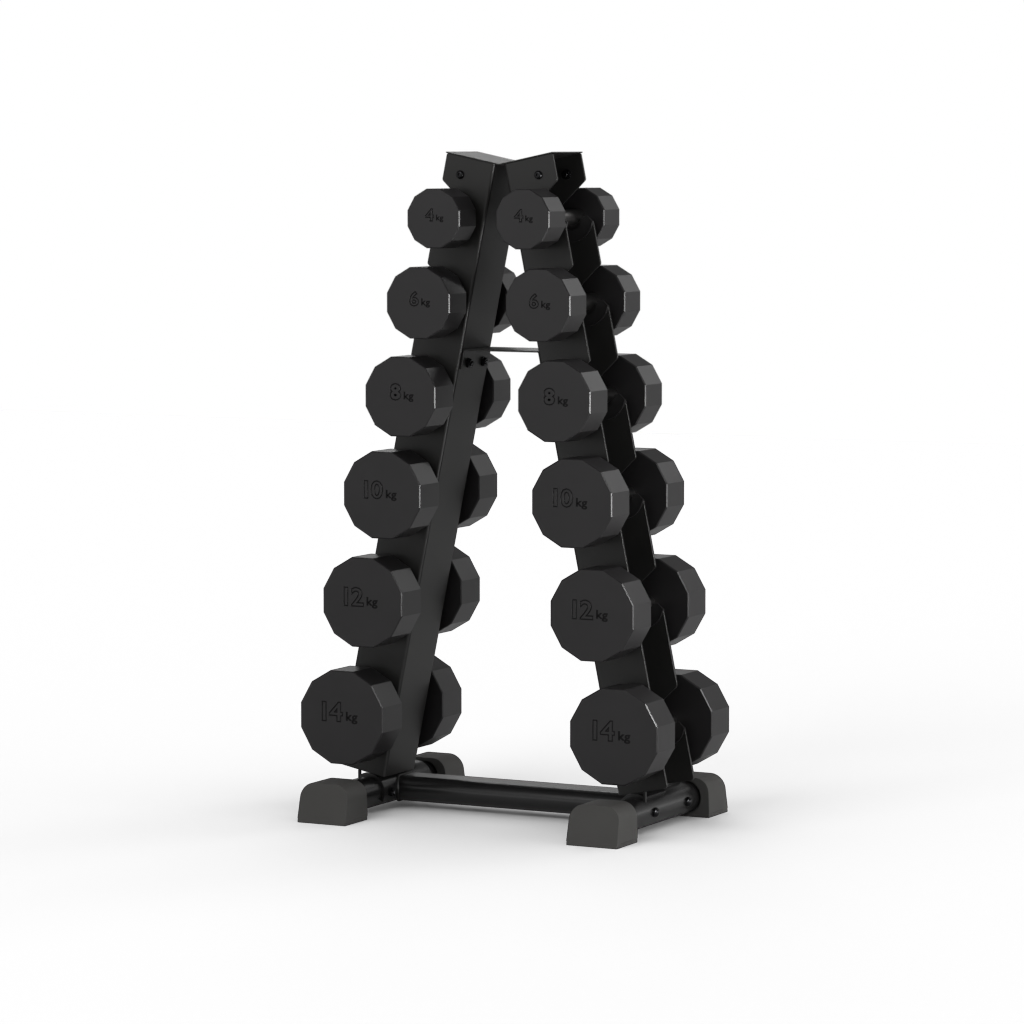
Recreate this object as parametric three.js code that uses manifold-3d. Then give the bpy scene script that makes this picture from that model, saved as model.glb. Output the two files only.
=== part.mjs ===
// A-frame dumbbell rack holding six pairs of twelve-sided dumbbells.
// Millimetres. +Z is up, the front of the rack faces -Y, and the floor is z = 0.
import * as THREE from 'three';
import { mergeVertices } from 'three/addons/utils/BufferGeometryUtils.js';
import Module from 'manifold-3d';

const wasm = await Module();
wasm.setup();

const GAP = 0.3; // air kept between two pieces that touch

// Uprights: folded sheet channels that lean in towards each other, open side outwards.
const LEAN = THREE.MathUtils.degToRad(11.55);
const UPRIGHT_FOOT_X = 217.9; // where the line of the inner web face meets the floor
const UPRIGHT_TOP = 1049.5; // measured along the upright from the floor
const FLANGE_WIDTH = 86;
const CHANNEL_DEPTH = 102;
const SHEET = 4;
const CORNER_RADIUS = 4;

// Dumbbells. "seat" is the height of the handle along the upright.
const DUMBBELLS = [
  { kg: '04', flats: 92, headLength: 56, seat: 954 },
  { kg: '06', flats: 111, headLength: 57, seat: 820.5 },
  { kg: '08', flats: 124, headLength: 61, seat: 671.5 },
  { kg: '10', flats: 136, headLength: 63, seat: 513.5 },
  { kg: '12', flats: 141, headLength: 64, seat: 340 },
  { kg: '14', flats: 148, headLength: 65, seat: 152 },
];
const HEAD_SIDES = 12;
const HEAD_CHAMFER = 3;
const HANDLE_RADIUS = 13;
const HANDLE_LENGTH = 135; // between the two heads
const HANDLE_OUT = 51.5; // handle axis from the inner web face

// Saddles: a seat for the handle, a ramp that lets it roll out, and a raised outer lip.
const SEAT_RADIUS = HANDLE_RADIUS + GAP;
const EXIT_ANGLE = THREE.MathUtils.degToRad(30.95); // lift-out path above the square to the upright
const LIP_HEIGHT = -2.1;
const LIP_INNER = 22;
const LIP_OUTER = 27.5;
const LINER_RADIUS = 38;
const LINER_TIP_ANGLE = THREE.MathUtils.degToRad(-19.4);
const LINER_THICKNESS = 4;
const NOTCH_TIP = -12.5; // where the notch leaves the outer edge, below the handle axis
const NOTCH_WALL = -16.3; // inner wall of the notch
const NOTCH_MOUTH = 53; // upper corner of the notch, above the handle axis
const NOTCH_ROOF_SLOPE = 0.64;

// Top cap and tie plate.
const CAP_THICKNESS = 2.5;
const CAP_OVERHANG = 1.5;
const CAP_LIP = 6;
const TIE_TOP = 740;
const TIE_DEPTH = 90;
const TIE_THICKNESS = 2.5;
const TIE_TAB = 32;

// Base: two round tubes front to back, joined by a flat-oval tube between two saddles.
const TUBE_X = 235.5;
const TUBE_Z = 30.6;
const TUBE_RADIUS = 25;
const TUBE_WALL = 3;
const BASE_HALF_DEPTH = 203;
const SADDLE_RADIUS = 30;
const SADDLE_LENGTH = 160;
const SADDLE_FROM = THREE.MathUtils.degToRad(70);
const SADDLE_TO = THREE.MathUtils.degToRad(240);
const CROSS_Y = 29;
const CROSS_HEIGHT = 40;
const CROSS_WIDTH = 75;
const CROSS_WALL = 3;

// Feet: rubber blocks over the tube ends.
const FOOT_LENGTH = 72;
const FOOT_HALF_WIDTH = 43;
const FOOT_HEIGHT = 62;
const FOOT_OUTER_HEIGHT = 56;
const FOOT_CORNER = 27;
const FOOT_FACE_SLOPE = THREE.MathUtils.degToRad(12);
const FOOT_WALL = 22;
const FOOT_GROOVE_RADIUS = 28.5;
const FOOT_GROOVE_DEPTH = 4;

// Bolts, all one size.
const BOLT_RADIUS = 4;
const BOLT_HOLE_RADIUS = BOLT_RADIUS + 2 * GAP;
const BOLT_HEAD_RADIUS = 7;
const BOLT_HEAD_HEIGHT = 4.5;
const NUT_RADIUS = 7.5;
const NUT_HEIGHT = 6.5;
const TOP_BOLT_OUT = 56;
const TOP_BOLT_DROP = 28;
const BASE_BOLT_SPACING = 120;

const COLOURS = {
  powderCoat: { color: 0x1c1b1d, roughness: 0.42, metalness: 0.0 },
  headRubber: { color: 0x1a191b, roughness: 0.62, metalness: 0.0 },
  footRubber: { color: 0x2a2927, roughness: 0.8, metalness: 0.0 },
  steel: { color: 0x8d8a88, roughness: 0.3, metalness: 1.0 },
  blackBolt: { color: 0x141415, roughness: 0.25, metalness: 0.9 },
};

const rack = new THREE.Group();
rack.name = 'dumbbell_rack';

// ---------------------------------------------------------------- helpers

function solid(geometry) {
  const bare = geometry.clone();
  bare.deleteAttribute('normal');
  bare.deleteAttribute('uv');
  const merged = mergeVertices(bare, 1e-4);
  return new wasm.Manifold(new wasm.Mesh({
    numProp: 3,
    vertProperties: new Float32Array(merged.attributes.position.array),
    triVerts: new Uint32Array(merged.index.array),
  }));
}

function geometryOf(manifold) {
  const mesh = manifold.getMesh();
  const geometry = new THREE.BufferGeometry();
  geometry.setAttribute('position', new THREE.BufferAttribute(new Float32Array(mesh.vertProperties), 3));
  geometry.setIndex(new THREE.BufferAttribute(new Uint32Array(mesh.triVerts), 1));
  geometry.computeVertexNormals();
  return geometry;
}

function piece(name, geometry, colour) {
  const mesh = new THREE.Mesh(geometry, new THREE.MeshStandardMaterial(colour));
  mesh.name = name;
  return mesh;
}

// Extrudes an outline drawn in (x, z) along Y, from y0 to y1.
function extrudeAlongY(shape, y0, y1, curveSegments = 8) {
  const geometry = new THREE.ExtrudeGeometry(shape, { depth: y1 - y0, bevelEnabled: false, curveSegments });
  geometry.rotateX(Math.PI / 2);
  geometry.translate(0, y1, 0);
  return geometry;
}

// A cylinder along Y centred on (x, z).
function cylinderAlongY(radius, y0, y1, x, z, segments = 32) {
  const geometry = new THREE.CylinderGeometry(radius, radius, y1 - y0, segments);
  geometry.translate(x, (y0 + y1) / 2, z);
  return geometry;
}

// A cylinder along X centred on (y, z).
function cylinderAlongX(radius, x0, x1, y, z, segments = 12) {
  const geometry = new THREE.CylinderGeometry(radius, radius, x1 - x0, segments);
  geometry.rotateZ(Math.PI / 2);
  geometry.translate((x0 + x1) / 2, y, z);
  return geometry;
}

// A point of the upright, from its distance out from the web face and its height along the upright.
function onUpright(out, along) {
  return new THREE.Vector2(
    UPRIGHT_FOOT_X + out * Math.cos(LEAN) - along * Math.sin(LEAN),
    out * Math.sin(LEAN) + along * Math.cos(LEAN),
  );
}

// ---------------------------------------------------------------- uprights

// The lowest point of the upright stands on the saddle over the base tube.
function uprightBottom() {
  const tubeAlong = (UPRIGHT_FOOT_X - TUBE_X) * Math.sin(LEAN) + TUBE_Z * Math.cos(LEAN);
  return tubeAlong + SADDLE_RADIUS + GAP;
}

// Point where the lift-out ramp leaves the round seat.
function rampStart() {
  return new THREE.Vector2(SEAT_RADIUS * Math.sin(EXIT_ANGLE), -SEAT_RADIUS * Math.cos(EXIT_ANGLE));
}

// One flange: a long plate with a hooked notch for each handle.
function flangeShape() {
  const bottom = uprightBottom();
  const edge = FLANGE_WIDTH - HANDLE_OUT;
  const outline = new THREE.Shape();
  outline.moveTo(0, bottom);
  outline.lineTo(FLANGE_WIDTH - CORNER_RADIUS, bottom);
  outline.quadraticCurveTo(FLANGE_WIDTH, bottom, FLANGE_WIDTH, bottom + CORNER_RADIUS);
  const ramp = rampStart();
  for (const { seat } of [...DUMBBELLS].reverse()) {
    const at = (out, up) => [HANDLE_OUT + out, seat + up];
    outline.lineTo(...at(edge, NOTCH_TIP));
    outline.lineTo(...at(LIP_OUTER, LIP_HEIGHT));
    outline.lineTo(...at(LIP_INNER, LIP_HEIGHT));
    outline.lineTo(...at(ramp.x, ramp.y));
    outline.absarc(HANDLE_OUT, seat, SEAT_RADIUS, EXIT_ANGLE - Math.PI / 2, -Math.PI, true);
    outline.lineTo(...at(NOTCH_WALL, 0));
    const roof = (out) => NOTCH_MOUTH - (edge - out) * NOTCH_ROOF_SLOPE;
    outline.lineTo(...at(NOTCH_WALL, roof(NOTCH_WALL) - CORNER_RADIUS));
    outline.quadraticCurveTo(
      ...at(NOTCH_WALL, roof(NOTCH_WALL)),
      ...at(NOTCH_WALL + CORNER_RADIUS, roof(NOTCH_WALL + CORNER_RADIUS)),
    );
    outline.lineTo(...at(edge - CORNER_RADIUS, roof(edge - CORNER_RADIUS)));
    outline.quadraticCurveTo(...at(edge, roof(edge)), ...at(edge, NOTCH_MOUTH + CORNER_RADIUS));
  }
  outline.lineTo(FLANGE_WIDTH, UPRIGHT_TOP);
  outline.lineTo(0, UPRIGHT_TOP);
  outline.closePath();
  const hole = new THREE.Path();
  hole.absarc(TOP_BOLT_OUT, UPRIGHT_TOP - TOP_BOLT_DROP, BOLT_HOLE_RADIUS, 0, 2 * Math.PI, true);
  outline.holes.push(hole);
  return outline;
}

// The half-round liner that lies against the inside of a flange under a handle.
function linerShape(seat) {
  const ramp = rampStart();
  const at = (out, up) => [HANDLE_OUT + out, seat + up];
  const outline = new THREE.Shape();
  outline.moveTo(...at(LIP_OUTER, LIP_HEIGHT));
  outline.lineTo(...at(LIP_INNER, LIP_HEIGHT));
  outline.lineTo(...at(ramp.x, ramp.y));
  outline.absarc(HANDLE_OUT, seat, SEAT_RADIUS, EXIT_ANGLE - Math.PI / 2, -Math.PI, true);
  outline.lineTo(...at(-LINER_RADIUS, 0));
  outline.absarc(HANDLE_OUT, seat, LINER_RADIUS, -Math.PI, LINER_TIP_ANGLE, false);
  outline.closePath();
  return outline;
}

function uprightGeometry() {
  const bottom = uprightBottom();
  const half = CHANNEL_DEPTH / 2;
  const webShape = new THREE.Shape([
    new THREE.Vector2(0, bottom),
    new THREE.Vector2(SHEET, bottom),
    new THREE.Vector2(SHEET, UPRIGHT_TOP),
    new THREE.Vector2(0, UPRIGHT_TOP),
  ]);
  let upright = solid(extrudeAlongY(webShape, -half, half));
  for (const side of [-1, 1]) {
    const outer = side * half;
    const inner = side * (half - SHEET);
    const flange = extrudeAlongY(flangeShape(), Math.min(outer, inner), Math.max(outer, inner), 4);
    upright = upright.add(solid(flange));
    const lined = side * (half - SHEET - LINER_THICKNESS);
    for (const { seat } of DUMBBELLS) {
      const liner = extrudeAlongY(linerShape(seat), Math.min(inner, lined), Math.max(inner, lined), 7);
      upright = upright.add(solid(liner));
    }
  }
  return geometryOf(upright);
}

// The left side is the right side turned half round about the vertical axis.
function sideGroup(side) {
  const group = new THREE.Group();
  group.rotation.z = side === 'right' ? 0 : Math.PI;
  rack.add(group);
  return group;
}

function addUprights() {
  const geometry = uprightGeometry();
  for (const side of ['left', 'right']) {
    const upright = piece(`upright_${side}`, geometry, COLOURS.powderCoat);
    upright.rotation.y = -LEAN;
    upright.position.x = UPRIGHT_FOOT_X;
    sideGroup(side).add(upright);
  }
}

// ---------------------------------------------------------------- top cap and tie plate

function addTopCap() {
  const under = UPRIGHT_TOP + GAP;
  const reach = FLANGE_WIDTH + CAP_OVERHANG;
  const valleyOut = (along) => (along * Math.sin(LEAN) - UPRIGHT_FOOT_X) / Math.cos(LEAN);
  const over = under + CAP_THICKNESS;
  const underside = [onUpright(valleyOut(under), under), onUpright(reach, under)];
  const topside = [onUpright(reach, over), onUpright(valleyOut(over), over)];
  const mirrored = (p) => new THREE.Vector2(-p.x, p.y);
  const outline = new THREE.Shape([
    ...underside,
    ...topside,
    mirrored(topside[0]),
    mirrored(underside[1]),
  ]);
  const half = CHANNEL_DEPTH / 2;
  let cap = solid(extrudeAlongY(outline, -half - CAP_OVERHANG, half + CAP_OVERHANG));
  const lipHalf = half - SHEET - GAP;
  const lipShape = new THREE.Shape([
    onUpright(reach - CAP_THICKNESS, under - CAP_LIP),
    onUpright(reach, under - CAP_LIP),
    onUpright(reach, over),
    onUpright(reach - CAP_THICKNESS, over),
  ]);
  const lip = solid(extrudeAlongY(lipShape, -lipHalf, lipHalf));
  cap = cap.add(lip).add(lip.mirror([1, 0, 0]));
  rack.add(piece('top_cap', geometryOf(cap), COLOURS.powderCoat));
}

function addTiePlate() {
  const along = TIE_TOP / Math.cos(LEAN);
  const bottomAlong = along - TIE_TAB;
  const inside = -GAP - TIE_THICKNESS;
  const cornerOut = (out) => onUpright(out, (TIE_TOP - out * Math.sin(LEAN)) / Math.cos(LEAN));
  const underZ = TIE_TOP - TIE_THICKNESS;
  const underOut = (out) => onUpright(out, (underZ - out * Math.sin(LEAN)) / Math.cos(LEAN));
  const half = [
    cornerOut(-GAP),
    onUpright(-GAP, bottomAlong),
    onUpright(inside, bottomAlong),
    underOut(inside),
  ];
  const outline = new THREE.Shape([
    ...half,
    ...half.map((p) => new THREE.Vector2(-p.x, p.y)).reverse(),
  ]);
  const tie = extrudeAlongY(outline, -TIE_DEPTH / 2, TIE_DEPTH / 2);
  rack.add(piece('tie_plate', geometryOf(solid(tie)), COLOURS.powderCoat));
}

// ---------------------------------------------------------------- base

function baseBoltYs() {
  return [CROSS_Y - BASE_BOLT_SPACING / 2, CROSS_Y + BASE_BOLT_SPACING / 2];
}

function addBaseTube(side, sign) {
  const end = BASE_HALF_DEPTH - FOOT_WALL - GAP;
  const inner = TUBE_RADIUS - TUBE_WALL;
  const profile = [
    new THREE.Vector2(inner, -end),
    new THREE.Vector2(TUBE_RADIUS, -end),
    new THREE.Vector2(TUBE_RADIUS, end),
    new THREE.Vector2(inner, end),
    new THREE.Vector2(inner, -end),
  ];
  let tube = solid(new THREE.LatheGeometry(profile, 32));
  for (const y of baseBoltYs()) {
    tube = tube.subtract(solid(cylinderAlongX(BOLT_HOLE_RADIUS, -2 * TUBE_RADIUS, 2 * TUBE_RADIUS, y, 0)));
  }
  const mesh = piece(`base_tube_${side}`, geometryOf(tube), COLOURS.powderCoat);
  mesh.position.set(sign * TUBE_X, 0, TUBE_Z);
  rack.add(mesh);
}

// A curved plate that hugs the inner side of a base tube.
function addBaseSaddle(side, sign) {
  const inner = TUBE_RADIUS + GAP;
  const outline = new THREE.Shape();
  outline.absarc(0, 0, SADDLE_RADIUS, SADDLE_FROM, SADDLE_TO, false);
  outline.absarc(0, 0, inner, SADDLE_TO, SADDLE_FROM, true);
  outline.closePath();
  const y0 = CROSS_Y - SADDLE_LENGTH / 2;
  let saddle = solid(extrudeAlongY(outline, y0, y0 + SADDLE_LENGTH, 14));
  for (const y of baseBoltYs()) {
    saddle = saddle.subtract(solid(cylinderAlongX(BOLT_HOLE_RADIUS, -2 * SADDLE_RADIUS, 0, y, 0)));
  }
  if (sign < 0) saddle = saddle.mirror([1, 0, 0]);
  const mesh = piece(`base_saddle_${side}`, geometryOf(saddle), COLOURS.powderCoat);
  mesh.position.set(sign * TUBE_X, 0, TUBE_Z);
  rack.add(mesh);
}

// Outline of a flat-oval section in (y, z), centred on the origin.
function flatOval(width, height) {
  const radius = height / 2;
  const flat = width / 2 - radius;
  const outline = new THREE.Shape();
  outline.absarc(flat, 0, radius, -Math.PI / 2, Math.PI / 2, false);
  outline.absarc(-flat, 0, radius, Math.PI / 2, 1.5 * Math.PI, false);
  outline.closePath();
  return outline;
}

function addCrossTube() {
  const section = flatOval(CROSS_WIDTH, CROSS_HEIGHT);
  section.holes.push(flatOval(CROSS_WIDTH - 2 * CROSS_WALL, CROSS_HEIGHT - 2 * CROSS_WALL));
  const length = 2 * TUBE_X;
  const geometry = new THREE.ExtrudeGeometry(section, { depth: length, bevelEnabled: false, curveSegments: 10 });
  geometry.rotateX(Math.PI / 2);
  geometry.rotateZ(Math.PI / 2);
  geometry.translate(-length / 2, CROSS_Y, TUBE_Z);
  let tube = solid(geometry);
  for (const sign of [-1, 1]) {
    const cope = cylinderAlongY(SADDLE_RADIUS + GAP, -BASE_HALF_DEPTH, BASE_HALF_DEPTH, sign * TUBE_X, TUBE_Z, 48);
    tube = tube.subtract(solid(cope));
  }
  const middle = tube.decompose().find((part) => Math.abs(part.boundingBox().max[0] + part.boundingBox().min[0]) < 1);
  rack.add(piece('cross_tube', geometryOf(middle), COLOURS.powderCoat));
}

// ---------------------------------------------------------------- feet

function footOutline() {
  const outline = new THREE.Shape();
  const side = FOOT_HALF_WIDTH - 1;
  outline.moveTo(-FOOT_HALF_WIDTH, 0);
  outline.lineTo(FOOT_HALF_WIDTH, 0);
  outline.lineTo(side, FOOT_HEIGHT - FOOT_CORNER);
  outline.absarc(side - FOOT_CORNER, FOOT_HEIGHT - FOOT_CORNER, FOOT_CORNER, 0, Math.PI / 2, false);
  outline.absarc(FOOT_CORNER - side, FOOT_HEIGHT - FOOT_CORNER, FOOT_CORNER, Math.PI / 2, Math.PI, false);
  outline.closePath();
  return outline;
}

// The outer end leans back and the top falls away towards it.
function taperFoot(geometry) {
  const position = geometry.attributes.position;
  for (let i = 0; i < position.count; i += 1) {
    const along = -position.getY(i) / FOOT_LENGTH; // 0 at the tube side, 1 at the outer end
    const z = position.getZ(i) * (1 + along * (FOOT_OUTER_HEIGHT / FOOT_HEIGHT - 1));
    position.setZ(i, z);
    position.setY(i, position.getY(i) + along * z * Math.tan(FOOT_FACE_SLOPE));
  }
  return geometry;
}

// Built for a front foot: the tube enters at y = 0 and the outer end is at y = -FOOT_LENGTH.
function footGeometry() {
  const block = solid(taperFoot(extrudeAlongY(footOutline(), -FOOT_LENGTH, 0, 6)));
  const boreEnd = -FOOT_LENGTH + FOOT_WALL;
  const bore = solid(cylinderAlongY(TUBE_RADIUS + GAP, boreEnd, 1, 0, TUBE_Z));
  const groove = solid(cylinderAlongY(FOOT_GROOVE_RADIUS, -FOOT_GROOVE_DEPTH, 1, 0, TUBE_Z));
  return geometryOf(block.subtract(bore).subtract(groove));
}

function addFeet() {
  const geometry = footGeometry();
  for (const [side, sign] of [['left', -1], ['right', 1]]) {
    for (const [end, turn] of [['front', 0], ['rear', Math.PI]]) {
      const foot = piece(`foot_${end}_${side}`, geometry, COLOURS.footRubber);
      foot.rotation.z = turn;
      foot.position.x = sign * TUBE_X;
      foot.position.y = (end === 'front' ? -1 : 1) * (BASE_HALF_DEPTH - FOOT_LENGTH);
      rack.add(foot);
    }
  }
}

// ---------------------------------------------------------------- bolts

// A domed bolt along +Z: the head sits on z = 0 and the nut hangs `grip` below it.
function boltGeometry(grip) {
  const top = BOLT_HEAD_HEIGHT;
  const profile = [
    new THREE.Vector2(0, -grip - NUT_HEIGHT - 2),
    new THREE.Vector2(BOLT_RADIUS, -grip - NUT_HEIGHT - 2),
    new THREE.Vector2(BOLT_RADIUS, 0),
    new THREE.Vector2(BOLT_HEAD_RADIUS, 0),
    new THREE.Vector2(BOLT_HEAD_RADIUS * 0.97, top * 0.35),
    new THREE.Vector2(BOLT_HEAD_RADIUS * 0.72, top * 0.82),
    new THREE.Vector2(BOLT_HEAD_RADIUS * 0.4, top),
    new THREE.Vector2(0, top),
  ];
  const shank = new THREE.LatheGeometry(profile, 12);
  shank.rotateX(Math.PI / 2);
  const nut = new THREE.CylinderGeometry(NUT_RADIUS, NUT_RADIUS, NUT_HEIGHT, 6);
  nut.rotateX(Math.PI / 2);
  nut.translate(0, 0, -grip - NUT_HEIGHT / 2);
  return geometryOf(solid(shank).add(solid(nut)));
}

// Two bolts through each upright near its top, one in each flange.
function addTopBolts() {
  const geometry = boltGeometry(SHEET + 2 * GAP);
  const out = onUpright(TOP_BOLT_OUT, UPRIGHT_TOP - TOP_BOLT_DROP);
  for (const [side, sign] of [['left', -1], ['right', 1]]) {
    for (const [end, face] of [['front', -1], ['rear', 1]]) {
      const bolt = piece(`top_bolt_${end}_${side}`, geometry, COLOURS.blackBolt);
      bolt.rotation.x = face < 0 ? Math.PI / 2 : -Math.PI / 2;
      bolt.position.set(sign * out.x, face * (CHANNEL_DEPTH / 2 + GAP), out.y);
      rack.add(bolt);
    }
  }
}

// Two bolts through each base tube, head on the outer side, nut inside the saddle.
function addBaseBolts() {
  const geometry = boltGeometry(TUBE_RADIUS + SADDLE_RADIUS + 2 * GAP);
  for (const [side, sign] of [['left', -1], ['right', 1]]) {
    baseBoltYs().forEach((y, index) => {
      const bolt = piece(`base_bolt_${index ? 'rear' : 'front'}_${side}`, geometry, COLOURS.blackBolt);
      bolt.rotation.y = sign * Math.PI / 2;
      bolt.position.set(sign * (TUBE_X + TUBE_RADIUS + GAP), y, TUBE_Z);
      rack.add(bolt);
    });
  }
}

// ---------------------------------------------------------------- dumbbells

// A twelve-sided head with chamfered faces, its axis along Y and its inner face on y = 0.
function headGeometry(flats, length) {
  const radius = flats / 2 / Math.cos(Math.PI / HEAD_SIDES);
  const profile = [
    new THREE.Vector2(0, 0),
    new THREE.Vector2(radius - HEAD_CHAMFER, 0),
    new THREE.Vector2(radius, HEAD_CHAMFER),
    new THREE.Vector2(radius, length - HEAD_CHAMFER),
    new THREE.Vector2(radius - HEAD_CHAMFER, length),
    new THREE.Vector2(0, length),
  ];
  const head = new THREE.LatheGeometry(profile, HEAD_SIDES);
  head.rotateY(Math.PI / HEAD_SIDES);
  return geometryOf(solid(head));
}

function addDumbbell({ kg, flats, headLength, seat }, side, sign) {
  const centre = onUpright(HANDLE_OUT, seat);
  const name = `${kg}kg_${side}`;
  const half = HANDLE_LENGTH / 2;
  const group = new THREE.Group();
  group.position.set(sign * centre.x, 0, centre.y);
  const bar = cylinderAlongY(HANDLE_RADIUS, -half + GAP, half - GAP, 0, 0, 32);
  group.add(piece(`handle_${name}`, geometryOf(solid(bar)), COLOURS.steel));
  const head = headGeometry(flats, headLength);
  const rear = piece(`head_rear_${name}`, head, COLOURS.headRubber);
  rear.position.y = half;
  const front = piece(`head_front_${name}`, head, COLOURS.headRubber);
  front.rotation.z = Math.PI;
  front.position.y = -half;
  group.add(rear, front);
  rack.add(group);
}

// ---------------------------------------------------------------- the rack

addUprights();
addTopCap();
addTiePlate();
addCrossTube();
addFeet();
addTopBolts();
addBaseBolts();
for (const [side, sign] of [['left', -1], ['right', 1]]) {
  addBaseTube(side, sign);
  addBaseSaddle(side, sign);
  for (const dumbbell of DUMBBELLS) addDumbbell(dumbbell, side, sign);
}

export default rack;
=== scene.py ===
"""Looks of the A-frame dumbbell rack: sheet-metal uprights, lined notches, tube base, feet and dumbbells.

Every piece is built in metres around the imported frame: +Z up, the front of the rack towards -Y.
"""
import math

import bmesh
import bpy
from mathutils import Matrix, Vector


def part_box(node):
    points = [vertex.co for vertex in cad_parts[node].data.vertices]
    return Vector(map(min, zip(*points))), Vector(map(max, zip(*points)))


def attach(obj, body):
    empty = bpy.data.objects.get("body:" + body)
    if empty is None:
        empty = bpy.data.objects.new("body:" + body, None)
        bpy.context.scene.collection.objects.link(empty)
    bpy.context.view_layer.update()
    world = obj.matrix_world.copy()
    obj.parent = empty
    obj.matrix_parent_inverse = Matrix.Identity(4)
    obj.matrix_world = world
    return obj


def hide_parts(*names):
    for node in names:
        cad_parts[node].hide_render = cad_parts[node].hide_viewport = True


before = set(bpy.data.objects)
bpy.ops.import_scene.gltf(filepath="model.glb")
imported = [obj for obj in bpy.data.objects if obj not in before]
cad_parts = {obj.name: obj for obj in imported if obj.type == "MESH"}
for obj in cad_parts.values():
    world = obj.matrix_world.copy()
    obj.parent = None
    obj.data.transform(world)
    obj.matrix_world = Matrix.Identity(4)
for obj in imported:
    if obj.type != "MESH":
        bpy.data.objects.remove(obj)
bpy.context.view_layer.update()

RACK = "rack_frame"
SIDES = {"left": -1, "right": 1}
ENDS = {"front": -1, "rear": 1}
WEIGHTS = ("04", "06", "08", "10", "12", "14")

# Uprights
LEAN = math.radians(11.55)
UPRIGHT_FOOT_X = 0.2179
FLANGE_WIDTH = 0.086
HALF_DEPTH = 0.051
SHEET = 0.004
BEND = 0.005
HANDLE_OUT = 0.0515
EDGE_OUT = FLANGE_WIDTH - HANDLE_OUT
CORNER = 0.005
NOTCH_TIP = -0.0125
NOTCH_RADIUS = 0.0163
NOTCH_MOUTH = 0.053
NOTCH_ROOF_SLOPE = 0.64

# Saddle liners
EXIT_ANGLE = math.radians(30.95)
SEAT_RADIUS = 0.0133
COLLAR_RADIUS = 0.0162
PLATE_INNER = 0.0194
LINER_RADIUS = 0.038
LINER_TIP = math.radians(-19.4)
LIP_HEIGHT = -0.0021
LIP_INNER = 0.022
LIP_OUTER = 0.0275
PLATE_THICKNESS = 0.004
PLATE_RECESS = 0.0031
COLLAR_PROUD = 0.0012
COLLAR_MOUTH = 0.0135
RIM_WIDTH = 0.0017
RIM_HEIGHT = 0.0012

# Top cap and tie plate
CAP_THICKNESS = 0.002
CAP_OVERHANG = 0.0012
TIE_THICKNESS = 0.0025
TIE_TAB = 0.032
FOLD_RADIUS = 0.004

# Gaps and overlaps where pieces meet
TOUCH = 0.0001
REST_GAP = 0.0002
FIT = 0.0003

# Base: saddle angles are measured round the tube, from straight out to over the top
TUBE_WALL = 0.003
SADDLE_RADIUS = 0.030
SADDLE_FROM = math.radians(84)
SADDLE_TO = math.radians(210)
SADDLE_LIP_FROM = math.radians(57)
SADDLE_LIP_OVERLAP = math.radians(4)
SADDLE_LIP_LENGTH = 0.080
TAB_INNER = 0.0148
TAB_OUTER = 0.0183
WELD_RADIUS = 0.0021
WELD_OUT = 0.0006
WELD_RIPPLE = 0.12
WELD_PITCH = 1.9

# Feet
FOOT_FACE_SLOPE = math.tan(math.radians(12))
FOOT_CORNER = 0.0235
FOOT_SIDE_STEP = 0.001
FOOT_SOLE = 0.006
FOOT_SOLE_STEP = 0.0006
FOOT_BORE_FIT = 0.0004
FOOT_GROOVE = 0.0285
FOOT_GROOVE_LENGTH = 0.009

# Bolts
BOLT_HEAD_RADIUS = 0.0068
BOLT_HEAD_HEIGHT = 0.0044
BOLT_SOCKET_RADIUS = 0.0029
BOLT_SOCKET_DEPTH = 0.0026
DOME_RADIUS = 0.0079
DOME_HEIGHT = 0.0074
HEAD_RIM = 0.16
SHANK_RADIUS = 0.004
SHANK_TIP = 0.0034
SHANK_PAST_NUT = 0.0085
SHANK_CHAMFER = 0.0007
WASHER_RADIUS = 0.0078
WASHER_THICKNESS = 0.0012
NUT_RADIUS = 0.0073
NUT_HALF = 0.0027
NUT_DROP = 0.0038
TIE_BOLT_RISE = 0.0105
TIE_BOLT_OUT = 0.0255
TIE_GRIP = 0.0028

# Dumbbells
HEAD_SIDES = 12
HEAD_CHAMFER = 0.0016

# The number and its unit on a head, as shares of the head's width across flats
DIGIT_BOLD = 0.022
DIGIT_SPACING = 0.92
DIGIT_HEIGHT = 0.222
DIGIT_RIGHT = 0.020
DIGIT_RISE = 0.060
UNIT_BOLD = 0.035
UNIT_SPACING = 1.1
UNIT_HEIGHT = 0.128
UNIT_LEFT = 0.054
UNIT_RISE = 0.002
LETTER_SPREAD = 1.13
GROOVE = 0.0008


# ---------------------------------------------------------------- materials

def node_material(name):
    material = bpy.data.materials.new(name)
    material.use_nodes = True
    shader = material.node_tree.nodes["Principled BSDF"]
    return material, material.node_tree, shader


def add_noise(tree, scale, detail=3.0):
    coordinates = tree.nodes.new("ShaderNodeTexCoord")
    noise = tree.nodes.new("ShaderNodeTexNoise")
    noise.inputs["Scale"].default_value = scale
    noise.inputs["Detail"].default_value = detail
    tree.links.new(coordinates.outputs["Object"], noise.inputs["Vector"])
    return noise


def vary_colour(tree, shader, noise, dark, light):
    ramp = tree.nodes.new("ShaderNodeValToRGB")
    ramp.color_ramp.elements[0].position = 0.3
    ramp.color_ramp.elements[0].color = (*dark, 1)
    ramp.color_ramp.elements[1].position = 0.7
    ramp.color_ramp.elements[1].color = (*light, 1)
    tree.links.new(noise.outputs["Fac"], ramp.inputs["Fac"])
    tree.links.new(ramp.outputs["Color"], shader.inputs["Base Color"])


def vary_roughness(tree, shader, noise, low, high):
    spread = tree.nodes.new("ShaderNodeMapRange")
    spread.inputs["To Min"].default_value = low
    spread.inputs["To Max"].default_value = high
    tree.links.new(noise.outputs["Fac"], spread.inputs["Value"])
    tree.links.new(spread.outputs["Result"], shader.inputs["Roughness"])


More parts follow.
